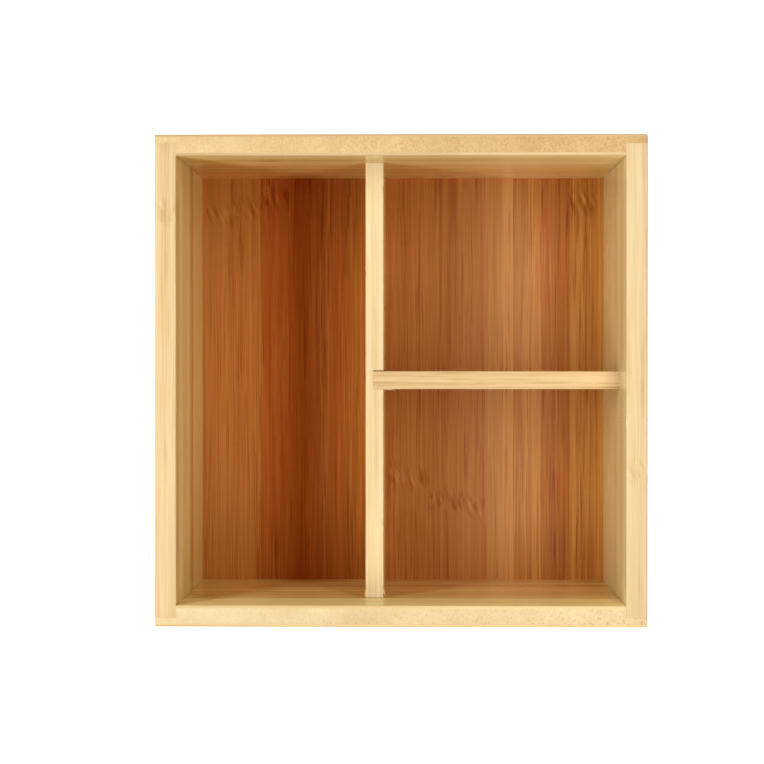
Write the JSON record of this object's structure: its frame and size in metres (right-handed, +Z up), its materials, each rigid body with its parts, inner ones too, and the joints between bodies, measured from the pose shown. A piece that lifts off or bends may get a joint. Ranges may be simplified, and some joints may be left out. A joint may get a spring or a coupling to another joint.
{
  "type": "pen holder",
  "caption": "Square open-topped bamboo desk box for pens and small supplies, split by low dividers into a long compartment and smaller ones beside it.",
  "frame": {"origin": "centre of the square footprint, on the surface that the box stands on", "axes": "+Z up towards the open top, -Y the front, +X to the right, with the long compartment on the -X side"},
  "size_m": [0.16, 0.16, 0.1],
  "materials": {
    "wall_bamboo": "pale laminated bamboo, sanded and satin lacquered",
    "floor_bamboo": "warmer laminated bamboo, satin lacquered",
    "divider_bamboo": "pale laminated bamboo, sanded and satin lacquered"
  },
  "bodies": {
    "root": {"front_wall": "wall_bamboo", "back_wall": "wall_bamboo", "left_wall": "wall_bamboo", "right_wall": "wall_bamboo", "floor_panel": "floor_bamboo", "long_divider": "divider_bamboo", "cross_divider": "divider_bamboo"}
  },
  "joints": []
}
